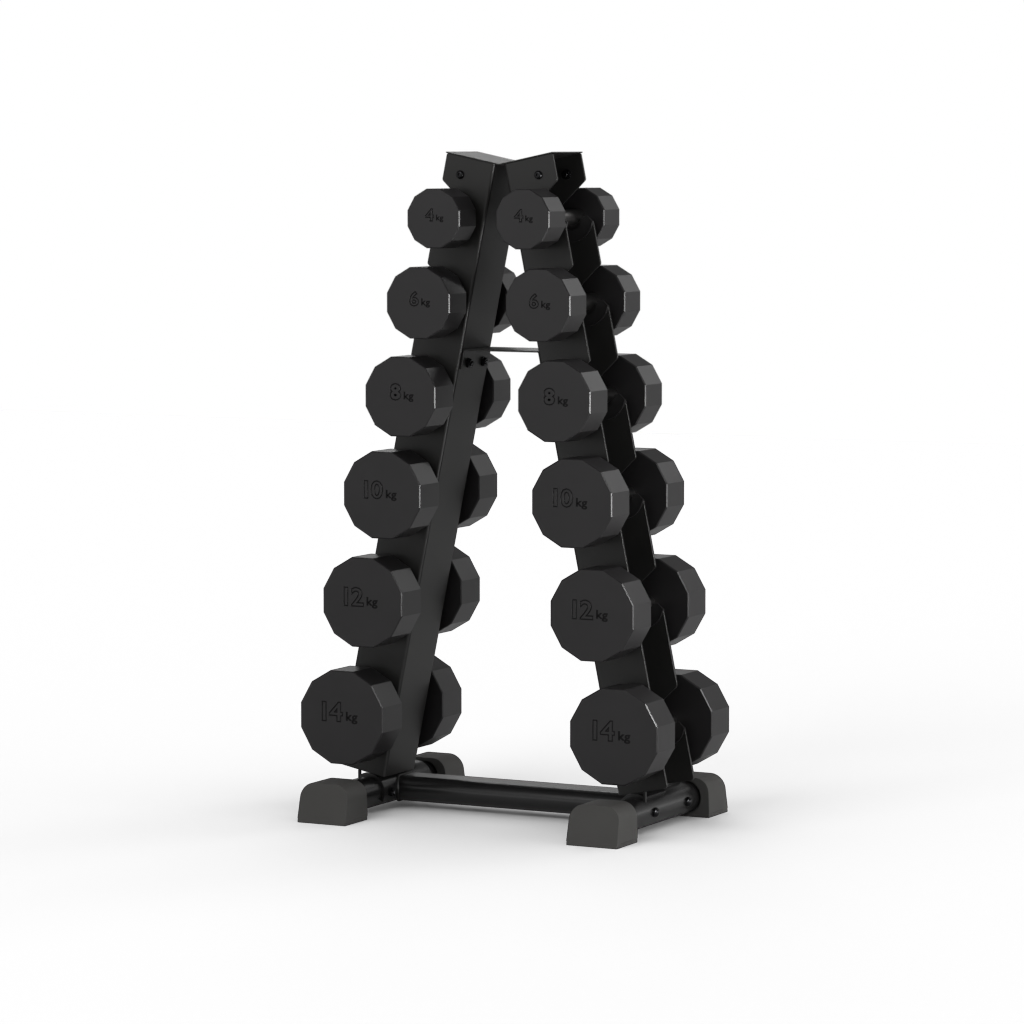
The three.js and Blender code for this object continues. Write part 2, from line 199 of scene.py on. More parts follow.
def add_bump(tree, shader, noise, strength, distance):
    bump = tree.nodes.new("ShaderNodeBump")
    bump.inputs["Strength"].default_value = strength
    bump.inputs["Distance"].default_value = distance
    tree.links.new(noise.outputs["Fac"], bump.inputs["Height"])
    tree.links.new(bump.outputs["Normal"], shader.inputs["Normal"])


def finish_material(name, dark, light, roughness, grain=None, bump=0.0, metallic=0.0, specular=0.5):
    """A plain finish: slight, broad changes of colour and gloss, and a bump where it has a grain."""
    material, tree, shader = node_material(name)
    shader.inputs["Metallic"].default_value = metallic
    shader.inputs["Specular IOR Level"].default_value = specular
    broad = add_noise(tree, 14.0)
    vary_colour(tree, shader, broad, dark, light)
    vary_roughness(tree, shader, broad, *roughness)
    if grain:
        add_bump(tree, shader, add_noise(tree, grain, 2.0), bump, 0.0002)
    return material


def brushed_material(name, dark, light, roughness):
    """Steel turned on a lathe: fine rings round the bar's own length."""
    material, tree, shader = node_material(name)
    shader.inputs["Metallic"].default_value = 1.0
    coordinates = tree.nodes.new("ShaderNodeTexCoord")
    stretch = tree.nodes.new("ShaderNodeMapping")
    stretch.inputs["Scale"].default_value = (6.0, 900.0, 6.0)
    noise = tree.nodes.new("ShaderNodeTexNoise")
    noise.inputs["Scale"].default_value = 1.0
    tree.links.new(coordinates.outputs["Object"], stretch.inputs["Vector"])
    tree.links.new(stretch.outputs["Vector"], noise.inputs["Vector"])
    vary_colour(tree, shader, noise, dark, light)
    vary_roughness(tree, shader, noise, *roughness)
    add_bump(tree, shader, noise, 0.08, 0.0001)
    return material


POWDER_COAT = finish_material(
    "powder_coat", (0.0135, 0.0130, 0.0122), (0.0170, 0.0165, 0.0155), (0.36, 0.44),
    grain=1400.0, bump=0.12, specular=0.42)
HEAD_RUBBER = finish_material(
    "head_rubber", (0.0150, 0.0138, 0.0146), (0.0182, 0.0168, 0.0178), (0.33, 0.39),
    grain=2200.0, bump=0.04, specular=0.45)
# Near-black colour for the faces cut by the figures and letters on the heads: painted shade that darkens the
# engraved grooves beyond what their depth gives.
GROOVE_PAINTED_SHADE = finish_material(
    "head_groove_painted_shade", (0.0062, 0.0057, 0.0060), (0.0082, 0.0076, 0.0080), (0.50, 0.58), specular=0.15)
FOOT_RUBBER = finish_material(
    "foot_rubber", (0.072, 0.070, 0.066), (0.082, 0.080, 0.076), (0.62, 0.72),
    grain=1800.0, bump=0.15, specular=0.35)
LINER_PLASTIC = finish_material(
    "liner_plastic", (0.0105, 0.0095, 0.0100), (0.0130, 0.0120, 0.0125), (0.36, 0.44),
    grain=1600.0, bump=0.06)
BLACK_BOLT = finish_material(
    "black_bolt", (0.020, 0.020, 0.021), (0.028, 0.028, 0.030), (0.20, 0.28), metallic=0.85)
TUBE_COAT = finish_material(
    "tube_coat", (0.0130, 0.0125, 0.0128), (0.0155, 0.0150, 0.0153), (0.25, 0.28),
    grain=1400.0, bump=0.012, specular=0.55)
HANDLE_STEEL = brushed_material("handle_steel", (0.080, 0.078, 0.077), (0.120, 0.116, 0.114), (0.30, 0.38))


# ---------------------------------------------------------------- mesh helpers

def arc(cx, cy, radius, start, stop, steps):
    """Points along an arc, both ends included."""
    turn = (stop - start) / steps
    return [
        (cx + radius * math.cos(start + i * turn), cy + radius * math.sin(start + i * turn))
        for i in range(steps + 1)
    ]


def prism(outline, y0, y1):
    """A closed outline in (x, z) as a solid between two places on Y."""
    bm = bmesh.new()
    near = [bm.verts.new((x, y0, z)) for x, z in outline]
    far = [bm.verts.new((x, y1, z)) for x, z in outline]
    bm.faces.new(near)
    bm.faces.new(far)
    count = len(outline)
    for i in range(count):
        j = (i + 1) % count
        bm.faces.new((near[i], near[j], far[j], far[i]))
    return bm


def lathe(profile, steps, closed=False):
    """A profile of (radius, height) turned round Z. Points on the axis become one vertex."""
    bm = bmesh.new()
    rings = []
    for radius, height in profile:
        if radius < 1e-9:
            rings.append([bm.verts.new((0, 0, height))] * steps)
            continue
        ring = []
        for i in range(steps):
            angle = 2 * math.pi * i / steps
            ring.append(bm.verts.new((radius * math.cos(angle), radius * math.sin(angle), height)))
        rings.append(ring)
    pairs = list(zip(rings, rings[1:]))
    if closed:
        pairs.append((rings[-1], rings[0]))
    for lower, upper in pairs:
        for i in range(steps):
            j = (i + 1) % steps
            corners = list(dict.fromkeys((lower[i], lower[j], upper[j], upper[i])))
            if len(corners) > 2:
                bm.faces.new(corners)
    return bm


def offset_path(path, distance):
    """An open path of (x, z) points moved sideways, to the right of its own direction."""
    moved = []
    for i, (x, z) in enumerate(path):
        x0, z0 = path[max(i - 1, 0)]
        x1, z1 = path[min(i + 1, len(path) - 1)]
        length = math.hypot(x1 - x0, z1 - z0)
        moved.append((x + (z1 - z0) / length * distance, z - (x1 - x0) / length * distance))
    return moved


def bent_sheet(one_side, other_side, y0, y1):
    """A strip of sheet between two matching paths of (x, z) points, closed all round, in quads."""
    bm = bmesh.new()
    rows = [[bm.verts.new((x, y, z)) for x, z in path] for y in (y0, y1) for path in (one_side, other_side)]
    near_one, near_other, far_one, far_other = rows
    for i in range(len(one_side) - 1):
        j = i + 1
        bm.faces.new((near_one[i], near_one[j], near_other[j], near_other[i]))
        bm.faces.new((far_one[i], far_one[j], far_other[j], far_other[i]))
        bm.faces.new((near_one[i], near_one[j], far_one[j], far_one[i]))
        bm.faces.new((near_other[i], near_other[j], far_other[j], far_other[i]))
    for i in (0, -1):
        bm.faces.new((near_one[i], near_other[i], far_other[i], far_one[i]))
    return bm


def rounded(points, radius, steps=5):
    """An open path of (x, z) points with its inner corners rounded."""
    result = [points[0]]
    for before, corner, after in zip(points, points[1:], points[2:]):
        c = Vector(corner)
        a = (Vector(before) - c).normalized()
        b = (Vector(after) - c).normalized()
        half = a.angle(b) / 2
        cut = radius / math.tan(half)
        centre = c + (a + b).normalized() * (radius / math.sin(half))
        start = c + a * cut - centre
        stop = c + b * cut - centre
        sweep = start.angle_signed(stop)
        for i in range(steps + 1):
            turned = Matrix.Rotation(-sweep * i / steps, 2) @ start
            result.append(tuple(centre + turned))
    result.append(points[-1])
    return result


def mesh_object(name, bm):
    bmesh.ops.recalc_face_normals(bm, faces=bm.faces)
    mesh = bpy.data.meshes.new(name)
    bm.to_mesh(mesh)
    bm.free()
    obj = bpy.data.objects.new(name, mesh)
    bpy.context.scene.collection.objects.link(obj)
    return obj


def combine(target, other, operation):
    """Cuts or joins `other` into `target` for good, and removes it."""
    modifier = target.modifiers.new("combine", "BOOLEAN")
    modifier.object = other
    modifier.operation = operation
    modifier.solver = "EXACT"
    modifier.use_self = True
    modifier.material_mode = "TRANSFER"
    apply_modifiers(target)
    bpy.data.objects.remove(other)
    return target


def soften(obj, width, segments=2):
    """Rounds a shape's edges for good."""
    modifier = obj.modifiers.new("soft_edges", "BEVEL")
    modifier.width = width
    modifier.segments = segments
    modifier.limit_method = "ANGLE"
    modifier.angle_limit = math.radians(25)
    return apply_modifiers(obj)


def apply_modifiers(obj):
    bpy.context.view_layer.update()
    evaluated = obj.evaluated_get(bpy.context.evaluated_depsgraph_get())
    mesh = bpy.data.meshes.new_from_object(evaluated)
    obj.modifiers.clear()
    old = obj.data
    obj.data = mesh
    bpy.data.meshes.remove(old)
    return obj


def dress(obj, material, body, stands_for=(), bevel=0.0006, segments=2, smooth=True):
    """Gives a finished shape its material, softened edges and the body it rides on."""
    if material:
        obj.data.materials.clear()
        obj.data.materials.append(material)
    for polygon in obj.data.polygons:
        polygon.use_smooth = smooth
    if bevel:
        modifier = obj.modifiers.new("soft_edges", "BEVEL")
        modifier.width = bevel
        modifier.segments = segments
        modifier.limit_method = "ANGLE"
        modifier.angle_limit = math.radians(25)
        modifier.miter_outer = "MITER_ARC"
    if smooth:
        weighted = obj.modifiers.new("even_shading", "WEIGHTED_NORMAL")
        weighted.weight = 80
    if stands_for:
        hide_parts(*stands_for)
    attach(obj, body)
    return obj


def place(obj, matrix):
    """Moves the mesh itself, so that the object stays at the origin."""
    obj.data.transform(matrix)
    if matrix.determinant() < 0:
        obj.data.flip_normals()
    return obj


def centre_of(node):
    low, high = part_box(node)
    return (Vector(low) + Vector(high)) / 2


# ---------------------------------------------------------------- uprights

def side_matrix(side):
    """From the right upright's own axes (out, depth, along) to the rack, for either side."""
    turned = Matrix.Rotation(0 if side == "right" else math.pi, 4, "Z")
    return turned @ Matrix.Translation((UPRIGHT_FOOT_X, 0, 0)) @ Matrix.Rotation(-LEAN, 4, "Y")


def seat_heights():
    """Handle heights along the upright, lowest first."""
    inverse = side_matrix("right").inverted()
    return sorted((inverse @ centre_of(f"handle_{kg}kg_right")).z for kg in WEIGHTS)


def upright_span():
    low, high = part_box("upright_right")
    bottom = low[2] / math.cos(LEAN)
    top = (high[2] - FLANGE_WIDTH * math.sin(LEAN)) / math.cos(LEAN)
    return bottom, top


def ramp(radius):
    """Start of the lift-out ramp on a seat of that radius."""
    return radius * math.sin(EXIT_ANGLE), -radius * math.cos(EXIT_ANGLE)


def notch_outline(seat):
    """One notch in a flange, from the lower lip to the upper corner."""
    def at(out, up):
        return HANDLE_OUT + out, seat + up

    def roof(out):
        return NOTCH_MOUTH - (EDGE_OUT - out) * NOTCH_ROOF_SLOPE

    wall = -NOTCH_RADIUS
    lip = 0.003  # the metal lip stays under the liner
    rx, rz = ramp(NOTCH_RADIUS)
    tip = rounded([at(EDGE_OUT, NOTCH_TIP - 0.01), at(EDGE_OUT, NOTCH_TIP), at(LIP_OUTER, LIP_HEIGHT - lip),
                   at(LIP_INNER + lip, LIP_HEIGHT - lip - 0.001), at(rx, rz)], 0.0018, 3)[1:-1]
    seat_arc = arc(HANDLE_OUT, seat, NOTCH_RADIUS, EXIT_ANGLE - math.pi / 2, -math.pi, 18)
    upper = rounded([at(wall, 0), at(wall, roof(wall)), at(EDGE_OUT, roof(EDGE_OUT)),
                     at(EDGE_OUT, NOTCH_MOUTH + 0.02)], CORNER, 6)[1:-1]
    return tip + seat_arc + upper


def flange_outline():
    """The edge of a flange, from the bend at the bottom round to the bend at the top."""
    bottom, top = upright_span()
    lower = rounded([(BEND, bottom), (FLANGE_WIDTH, bottom), (FLANGE_WIDTH, bottom + 0.05)], CORNER)[:-1]
    upper = rounded([(FLANGE_WIDTH, top - 0.01), (FLANGE_WIDTH, top), (BEND, top)], 0.0025)[1:]
    outline = lower
    for seat in seat_heights():
        outline = outline + notch_outline(seat)
    return outline + upper


def upright_mesh():
    """A folded channel in one sheet: web, two bends and two notched flanges."""
    bottom, top = upright_span()
    bm = bmesh.new()
    inner_depth = HALF_DEPTH - SHEET
    bend_y = HALF_DEPTH - BEND
    columns = {}
    for key, radius in (("outer", BEND), ("inner", BEND - SHEET)):
        path = (arc(BEND, -bend_y, radius, 1.5 * math.pi, math.pi, 8)
                + arc(BEND, bend_y, radius, math.pi, math.pi / 2, 8))
        columns[key] = [[bm.verts.new((x, y, z)) for z in (bottom, top)] for x, y in path]
    for path in columns.values():
        for (a0, a1), (b0, b1) in zip(path, path[1:]):
            bm.faces.new((a0, b0, b1, a1))
    ribs = list(zip(columns["outer"], columns["inner"]))
    for (o, i), (o2, i2) in zip(ribs, ribs[1:]):
        bm.faces.new((o[0], o2[0], i2[0], i[0]))
        bm.faces.new((o[1], o2[1], i2[1], i[1]))
    edge = flange_outline()
    for sign, end in ((-1, 0), (1, -1)):
        sheets = []
        for depth, key in ((HALF_DEPTH, "outer"), (inner_depth, "inner")):
            first, last = columns[key][end]
            middle = [bm.verts.new((x, sign * depth, z)) for x, z in edge[1:-1]]
            sheets.append([first, *middle, last])
        for sheet in sheets:
            bm.faces.new(sheet)
        for i in range(len(edge) - 1):
            bm.faces.new((sheets[0][i], sheets[0][i + 1], sheets[1][i + 1], sheets[1][i]))
    return bm


def add_uprights():
    for side in SIDES:
        obj = mesh_object(f"upright_sheet_{side}", upright_mesh())
        place(obj, side_matrix(side))
        dress(obj, POWDER_COAT, RACK, [f"upright_{side}"], bevel=0.0007)


# ---------------------------------------------------------------- saddle liners

def crescent(inner, outer, top_inner):
    """A half ring round the handle: seat side first, then the outside."""
    start = math.asin(max(-1.0, LIP_HEIGHT / inner))
    inside = arc(0, 0, inner, start, -math.pi, 30)
    outside = arc(0, 0, outer, -math.pi, LINER_TIP, 40)
    return inside + outside + [(LIP_OUTER, LIP_HEIGHT), (top_inner, LIP_HEIGHT)]


def collar_outline(outer):
    """The part of the liner that lines the notch itself, with the lift-out ramp."""
    rx, rz = ramp(SEAT_RADIUS)
    inside = arc(0, 0, SEAT_RADIUS, EXIT_ANGLE - math.pi / 2, -math.pi, 24)
    outside = arc(0, 0, outer, -math.pi, EXIT_ANGLE - math.pi / 2, 24)
    ox, oz = ramp(outer)
    along = (math.cos(EXIT_ANGLE) * COLLAR_MOUTH, math.sin(EXIT_ANGLE) * COLLAR_MOUTH)
    return inside + outside + [(ox + along[0], oz + along[1]), (rx + along[0], rz + along[1])]


def liner_object(name):
    """One liner in the handle's own axes, for the flange on the +Y side: plate, seat, collar and rim."""
    inside = HALF_DEPTH - SHEET
    face = inside - PLATE_THICKNESS
    back = inside - TOUCH
    plate = mesh_object(name, prism(crescent(PLATE_INNER, LINER_RADIUS, PLATE_INNER + 0.003), face, back))
    seat = mesh_object("seat", prism(collar_outline(PLATE_INNER + 0.0004), face + PLATE_RECESS, back))
    combine(plate, seat, "UNION")
    lining = collar_outline(COLLAR_RADIUS)
    collar = mesh_object("collar", prism(lining, inside - 0.001, HALF_DEPTH + COLLAR_PROUD))
    combine(plate, collar, "UNION")
    band = (arc(0, 0, LINER_RADIUS, -math.pi, LINER_TIP, 40)
            + [(LIP_OUTER + 0.001, LIP_HEIGHT), (LIP_OUTER - 0.0008, LIP_HEIGHT - 0.0012)]
            + arc(0, 0, LINER_RADIUS - RIM_WIDTH, LINER_TIP, -math.pi, 40))
    rim = mesh_object("rim", prism(band, face - RIM_HEIGHT, face + RIM_HEIGHT / 2))
    return combine(plate, rim, "UNION")


def add_liners():
    template = liner_object("liner_template")
    for side in SIDES:
        for end, sign in ENDS.items():
            for kg, seat in zip(reversed(WEIGHTS), seat_heights()):
                obj = bpy.data.objects.new(f"liner_{end}_{kg}kg_{side}", template.data.copy())
                bpy.context.scene.collection.objects.link(obj)
                local_sign = sign * SIDES[side]
                flip = Matrix.Scale(local_sign, 4, (0, 1, 0))
                place(obj, side_matrix(side) @ Matrix.Translation((HANDLE_OUT, 0, seat)) @ flip)
                dress(obj, LINER_PLASTIC, RACK, [f"upright_{side}"], bevel=0.0003)
    bpy.data.objects.remove(template)


# ---------------------------------------------------------------- top cap and tie plate

def on_upright(out, along):
    point = side_matrix("right") @ Vector((out, 0, along))
    return point.x, point.z


def mirrored(path):
    return [(-x, z) for x, z in reversed(path)]


def add_top_cap():
    """One thin sheet bent into a shallow V over both channel tops."""
    low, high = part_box("top_cap")
    _, top = upright_span()
    under = top + REST_GAP
    valley = (0.0, on_upright(0, under)[1] - on_upright(0, under)[0] * math.tan(LEAN))
    right = [valley, on_upright(FLANGE_WIDTH + CAP_OVERHANG, under)]
    path = rounded(mirrored(right)[:-1] + right, FOLD_RADIUS, 6)
    cap = mesh_object("top_cap_sheet", bent_sheet(path, offset_path(path, -CAP_THICKNESS), low[1], high[1]))
    dress(cap, POWDER_COAT, RACK, ["top_cap"], bevel=0.0005)


def add_tie_plate():
    """A flat plate between the webs with a tab folded down against each."""
    low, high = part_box("tie_plate")
    along_low = high[2] / math.cos(LEAN) - TIE_TAB
    corner = on_upright(-FIT, (high[2] + FIT * math.sin(LEAN)) / math.cos(LEAN))
    right = [(0.0, high[2]), corner, on_upright(-FIT, along_low)]
    path = rounded(mirrored(right)[:-1] + right[1:], FOLD_RADIUS, 6)
    tie = mesh_object("tie_plate_sheet", bent_sheet(path, offset_path(path, TIE_THICKNESS), low[1], high[1]))
    dress(tie, POWDER_COAT, RACK, ["tie_plate"], bevel=0.0005)


# ---------------------------------------------------------------- base

def base_axis(side):
    return centre_of(f"base_tube_{side}")


def tube_radius():
    low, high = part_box("base_tube_right")
    return (high[2] - low[2]) / 2


def along_y(obj, centre):
    """Lays a shape that was turned round Z along Y, through a point."""
    return place(obj, Matrix.Translation(centre) @ Matrix.Rotation(-math.pi / 2, 4, "X"))


def add_base_tubes():
    for side in SIDES:
        low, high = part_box(f"base_tube_{side}")
        radius = tube_radius()
        half = (high[1] - low[1]) / 2
        inner = radius - TUBE_WALL
        profile = [(inner, -half), (radius, -half), (radius, half), (inner, half)]
        obj = mesh_object(f"base_tube_skin_{side}", lathe(profile, 96, closed=True))
        along_y(obj, base_axis(side))
        dress(obj, TUBE_COAT, RACK, [f"base_tube_{side}"], bevel=0.0005)


def saddle_sheet(name, start, stop, steps, y0, y1):
    """A curved plate that lies on a base tube, in the tube's own axes."""
    outside = arc(0, 0, SADDLE_RADIUS, start, stop, steps)
    inside = arc(0, 0, tube_radius() + REST_GAP, start, stop, steps)
    return mesh_object(name, bent_sheet(outside, inside, y0, y1))


def at_base_tube(obj, side, sign):
    """Moves a shape from a tube's own axes, x outwards, to the tube on either side."""
    axis = base_axis(side)
    return place(obj, Matrix.Translation((axis.x, 0, axis.z)) @ Matrix.Scale(sign, 4, (1, 0, 0)))


def add_base_saddles():
    for side, sign in SIDES.items():
        low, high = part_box(f"base_saddle_{side}")
        obj = saddle_sheet(f"base_saddle_plate_{side}", SADDLE_FROM, SADDLE_TO, 44, low[1], high[1])
        lip = saddle_sheet("saddle_lip", SADDLE_LIP_FROM, SADDLE_FROM + SADDLE_LIP_OVERLAP, 12,
                           low[1], low[1] + SADDLE_LIP_LENGTH)
        combine(obj, lip, "UNION")
        at_base_tube(obj, side, sign)
        dress(obj, TUBE_COAT, RACK, [f"base_saddle_{side}"], bevel=0.0008)
        add_saddle_tab(side, sign)


def add_saddle_tab(side, sign):
    """The small tab that stands on a base tube under the front flange of the channel."""
    axis = base_axis(side)
    bottom, _ = upright_span()

    def channel_end(x):
        out = axis.x * sign + x - UPRIGHT_FOOT_X
        return bottom / math.cos(LEAN) + out * math.tan(LEAN) - axis.z - REST_GAP

    def on_tube(x):
        return math.sqrt((tube_radius() + FIT) ** 2 - x ** 2)

    outline = [(TAB_INNER, on_tube(TAB_INNER)), (TAB_OUTER, on_tube(TAB_OUTER)),
               (TAB_OUTER, channel_end(TAB_OUTER)), (TAB_INNER, channel_end(TAB_INNER))]
    obj = mesh_object(f"saddle_tab_{side}", prism(outline, -HALF_DEPTH, SHEET - HALF_DEPTH))
    at_base_tube(obj, side, sign)
    dress(obj, POWDER_COAT, RACK, bevel=0.0005)


def flat_oval(width, height, steps=28):
    radius = height / 2
    flat = width / 2 - radius
    quarter = math.pi / 2
    return arc(flat, 0, radius, -quarter, quarter, steps) + arc(-flat, 0, radius, quarter, 3 * quarter, steps)


def cylinder_y(name, radius, length, centre, steps=96):
    profile = [(0, -length / 2), (radius, -length / 2), (radius, length / 2), (0, length / 2)]
    return along_y(mesh_object(name, lathe(profile, steps)), centre)


def add_cross_tube():
    low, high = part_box("cross_tube")
    width = high[1] - low[1]
    height = high[2] - low[2]
    centre = centre_of("cross_tube")
    reach = base_axis("right").x - tube_radius() * 0.6
    tube = mesh_object("cross_tube_skin", prism(flat_oval(width, height), -reach, reach))
    place(tube, Matrix.Translation(centre) @ Matrix.Rotation(math.pi / 2, 4, "Z"))
    for side in SIDES:
        cope = cylinder_y("cope", SADDLE_RADIUS + REST_GAP, 0.3, base_axis(side))
        combine(tube, cope, "DIFFERENCE")
    dress(tube, TUBE_COAT, RACK, ["cross_tube"], bevel=0.0004)
    for side, sign in SIDES.items():
        add_cross_weld(side, sign, width, height, centre)


def bead(name, path, steps=10):
    """A weld bead: a thin rippled ring through a closed list of points."""
    bm = bmesh.new()
    rings = []
    for i, point in enumerate(path):
        tangent = (path[(i + 1) % len(path)] - path[i - 1]).normalized()
        side = tangent.cross(Vector((1, 0.01, 0.02))).normalized()
        other = tangent.cross(side)
        size = WELD_RADIUS * (1 + WELD_RIPPLE * math.sin(i * WELD_PITCH))
        ring = []
        for k in range(steps):
            angle = 2 * math.pi * k / steps
            ring.append(bm.verts.new(point + (side * math.cos(angle) + other * math.sin(angle)) * size))
        rings.append(ring)
    for first, second in zip(rings, rings[1:] + rings[:1]):
        for k in range(steps):
            j = (k + 1) % steps
            bm.faces.new((first[k], first[j], second[j], second[k]))
    return mesh_object(name, bm)


def add_cross_weld(side, sign, width, height, centre):
    """The bead where the cross tube meets its saddle, following the saddle's curve."""
    axis = base_axis(side)
    path = []
    for y, z in flat_oval(width, height, 40):
        out = math.sqrt(max(SADDLE_RADIUS ** 2 - z ** 2, 0))
        path.append(Vector((axis.x - sign * (out + WELD_OUT), centre.y + y, axis.z + z)))
    dress(bead(f"cross_weld_{side}", path), POWDER_COAT, RACK, bevel=0)


# ---------------------------------------------------------------- feet

def foot_block(low, high):
    """The block of a front foot with its tube side at y = 0: D-shaped, its outer end leaning back."""
    half = (high[0] - low[0]) / 2
    height = high[2] - low[2]
    length = high[1] - low[1]
    side = half - FOOT_SIDE_STEP
    arch_z = height - FOOT_CORNER
    foot = half - FOOT_SOLE_STEP
    sole = [(foot, 0.0), (foot, FOOT_SOLE), (half, FOOT_SOLE + FOOT_SOLE_STEP)]
    outline = (mirrored(sole) + sole
               + arc(side - FOOT_CORNER, arch_z, FOOT_CORNER, 0, math.pi / 2, 14)
               + arc(FOOT_CORNER - side, arch_z, FOOT_CORNER, math.pi / 2, math.pi, 14))
    bm = prism(outline, -length, 0)
    for vertex in bm.verts:
        if vertex.co.y < -length / 2:
            vertex.co.y += vertex.co.z * FOOT_FACE_SLOPE
            if vertex.co.z <= FOOT_SOLE:
                vertex.co.y += FOOT_SOLE_STEP
    return bm


def add_feet():
    for side in SIDES:
        for end in ENDS:
            node = f"foot_{end}_{side}"
            low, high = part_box(node)
            axis = base_axis(side)
            obj = mesh_object(f"{node}_block", foot_block(low, high))
            bore = cylinder_y("bore", tube_radius() + FOOT_BORE_FIT, 0.1, Vector((0, 0, axis.z)))
            combine(obj, bore, "DIFFERENCE")
            groove = cylinder_y("groove", FOOT_GROOVE, FOOT_GROOVE_LENGTH, Vector((0, 0, axis.z)))
            combine(obj, groove, "DIFFERENCE")
            turn = Matrix.Rotation(0 if end == "front" else math.pi, 4, "Z")
            inner_y = high[1] if end == "front" else low[1]
            place(obj, Matrix.Translation((axis.x, inner_y, 0)) @ turn)
            dress(obj, FOOT_RUBBER, RACK, [node], bevel=0.0016, segments=3)


# ---------------------------------------------------------------- bolts

def hexagon(radius):
    return [(radius * math.cos(i * math.pi / 3), radius * math.sin(i * math.pi / 3)) for i in range(6)]


def bolt_object(name, grip, socket=True):
    """A button-head bolt along +Z with a washer and nut: the head sits on z = 0, `grip` above the nut."""
    top = BOLT_HEAD_HEIGHT if socket else DOME_HEIGHT
    wide = BOLT_HEAD_RADIUS if socket else DOME_RADIUS
    flat = 0.45 if socket else 0.1
    head = [(0, 0), (wide * 0.98, 0), (wide, top * HEAD_RIM)]
    for i in range(1, 11):
        angle = i / 10 * math.pi / 2
        rise = HEAD_RIM + (1 - HEAD_RIM) * math.sin(angle)
        head.append((wide * (flat + (1 - flat) * math.cos(angle)), top * rise))
    head.append((0, top))
    obj = mesh_object(name, lathe(head, 48))
    if socket:
        key = hexagon(BOLT_SOCKET_RADIUS)
        hole = mesh_object("socket", prism(key, -BOLT_SOCKET_DEPTH, BOLT_SOCKET_DEPTH))
        place(hole, Matrix.Translation((0, 0, top)) @ Matrix.Rotation(math.pi / 2, 4, "X"))
        combine(obj, hole, "DIFFERENCE")
    tip = -grip - SHANK_PAST_NUT
    shank = [(0, tip), (SHANK_TIP, tip), (SHANK_RADIUS, tip + SHANK_CHAMFER), (SHANK_RADIUS, 0.0005),
             (0, 0.0005)]
    combine(obj, mesh_object("shank", lathe(shank, 32)), "UNION")
    under = -grip - WASHER_THICKNESS
    washer = [(0, under), (WASHER_RADIUS, under), (WASHER_RADIUS, -grip), (0, -grip)]
    combine(obj, mesh_object("washer", lathe(washer, 40)), "UNION")
    nut = mesh_object("nut", prism(hexagon(NUT_RADIUS), -NUT_HALF, NUT_HALF))
    place(nut, Matrix.Translation((0, 0, -grip - NUT_DROP)) @ Matrix.Rotation(math.pi / 2, 4, "X"))
    return combine(obj, nut, "UNION")


def add_bolt(name, grip, where, facing, node=None, turn=0.3, socket=True):
    """Puts a bolt at a point with its head facing the given way."""
    obj = bolt_object(name, grip, socket)
    aim = Vector(facing).to_track_quat("Z", "Y").to_matrix().to_4x4()
    place(obj, Matrix.Translation(where) @ aim @ Matrix.Rotation(turn, 4, "Z"))
    dress(obj, BLACK_BOLT, RACK, [node] if node else (), bevel=0.00025)


def add_bolts():
    for side, sign in SIDES.items():
        for end, face in ENDS.items():
            node = f"top_bolt_{end}_{side}"
            centre = centre_of(node)
            add_bolt(f"{node}_button", SHEET, (centre.x, face * HALF_DEPTH, centre.z), (0, face, 0), node)
            node = f"base_bolt_{end}_{side}"
            axis = base_axis(side)
            where = (axis.x + sign * (tube_radius() - FIT), centre_of(node).y, axis.z)
            grip = tube_radius() + SADDLE_RADIUS - FIT
            add_bolt(f"{node}_dome", grip, where, (sign, 0, 0), node, socket=False)
            add_tie_bolt(side, end, sign, face)


def add_tie_bolt(side, end, sign, face):
    """A bolt that holds a tab of the tie plate to the web: head in the channel, nut on the tab."""
    low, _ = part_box("tie_plate")
    along = (low[2] + TIE_BOLT_RISE) / math.cos(LEAN)
    where = side_matrix(side) @ Vector((SHEET, face * sign * TIE_BOLT_OUT, along))
    facing = side_matrix(side).to_3x3() @ Vector((1, 0, 0))
    add_bolt(f"tie_bolt_{end}_{side}", SHEET + TIE_GRIP, where, facing)


# ---------------------------------------------------------------- dumbbells

def head_mesh(across, length):
    """A twelve-sided head along Y with chamfered faces, from y = 0 outwards."""
    radius = across / 2 / math.cos(math.pi / HEAD_SIDES)
    profile = [(radius - HEAD_CHAMFER, 0), (radius, HEAD_CHAMFER), (radius, length - HEAD_CHAMFER),
               (radius - HEAD_CHAMFER, length)]
    bm = bmesh.new()
    rings = []
    for ring_radius, y in profile:
        ring = []
        for i in range(HEAD_SIDES):
            angle = math.pi / HEAD_SIDES * (2 * i + 1)
            ring.append(bm.verts.new((ring_radius * math.cos(angle), y, ring_radius * math.sin(angle))))
        rings.append(ring)
    bm.faces.new(rings[0])
    bm.faces.new(rings[-1])
    for lower, upper in zip(rings, rings[1:]):
        for i in range(HEAD_SIDES):
            j = (i + 1) % HEAD_SIDES
            bm.faces.new((lower[i], lower[j], upper[j], upper[i]))
    return bm


